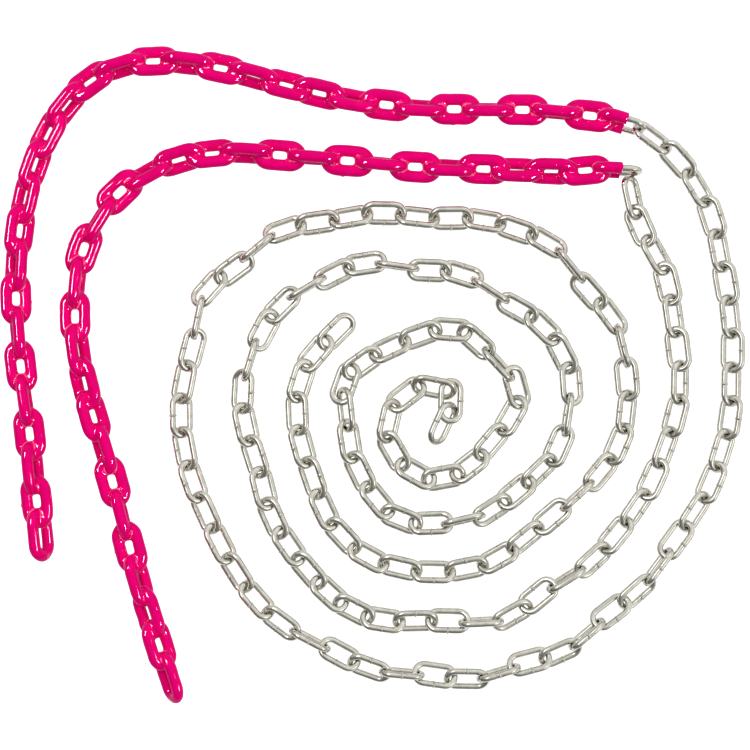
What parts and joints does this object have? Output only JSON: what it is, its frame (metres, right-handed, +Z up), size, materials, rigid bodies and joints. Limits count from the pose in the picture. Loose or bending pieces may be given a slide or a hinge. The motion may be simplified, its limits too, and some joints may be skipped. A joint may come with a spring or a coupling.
{
  "type": "heap of steel chain",
  "caption": "Matched pair of welded swing chains, each part bare zinc-plated steel and part vinyl-dipped, laid flat in a double coil as bulk stock.",
  "frame": {"origin": "middle of the heap's footprint, on the floor it lies on", "axes": "+X to the right and +Y away from the viewer as the heap is seen from above with its hand ends at the lower left, +Z up"},
  "size_m": [0.5362, 0.4742, 0.0233],
  "materials": {
    "pink_vinyl": "glossy dipped vinyl, a little uneven",
    "zinc_plate": "bright zinc plate, lightly rubbed"
  },
  "bodies": {
    "root": {"outer_hand_eye": "pink_vinyl", "outer_dipped_1": "pink_vinyl", "outer_dipped_2": "pink_vinyl", "outer_dipped_3": "pink_vinyl", "outer_dipped_4": "pink_vinyl", "outer_dipped_5": "pink_vinyl", "outer_dipped_6": "pink_vinyl", "outer_half_dipped_link": "zinc_plate", "outer_bare_01": "zinc_plate", "outer_bare_02": "zinc_plate", "outer_bare_03": "zinc_plate", "outer_bare_04": "zinc_plate", "outer_bare_05": "zinc_plate", "outer_bare_06": "zinc_plate", "outer_bare_07": "zinc_plate", "outer_bare_08": "zinc_plate", "outer_bare_09": "zinc_plate", "outer_bare_10": "zinc_plate", "outer_bare_11": "zinc_plate", "outer_bare_12": "zinc_plate", "outer_bare_13": "zinc_plate", "outer_bare_14": "zinc_plate", "outer_bare_15": "zinc_plate", "outer_bare_16": "zinc_plate", "outer_bare_17": "zinc_plate", "outer_bare_18": "zinc_plate", "outer_bare_eye": "zinc_plate", "inner_hand_eye": "pink_vinyl", "inner_dipped_1": "pink_vinyl", "inner_dipped_2": "pink_vinyl", "inner_dipped_3": "pink_vinyl", "inner_dipped_4": "pink_vinyl", "inner_dipped_5": "pink_vinyl", "inner_dipped_6": "pink_vinyl", "inner_half_dipped_link": "zinc_plate", "inner_bare_01": "zinc_plate", "inner_bare_02": "zinc_plate", "inner_bare_03": "zinc_plate", "inner_bare_04": "zinc_plate", "inner_bare_05": "zinc_plate", "inner_bare_06": "zinc_plate", "inner_bare_07": "zinc_plate", "inner_bare_08": "zinc_plate", "inner_bare_09": "zinc_plate", "inner_bare_10": "zinc_plate", "inner_bare_11": "zinc_plate", "inner_bare_12": "zinc_plate", "inner_bare_13": "zinc_plate", "inner_bare_14": "zinc_plate", "inner_bare_15": "zinc_plate", "inner_bare_16": "zinc_plate", "inner_bare_17": "zinc_plate", "inner_bare_18": "zinc_plate", "inner_bare_eye": "zinc_plate"}
  },
  "joints": []
}
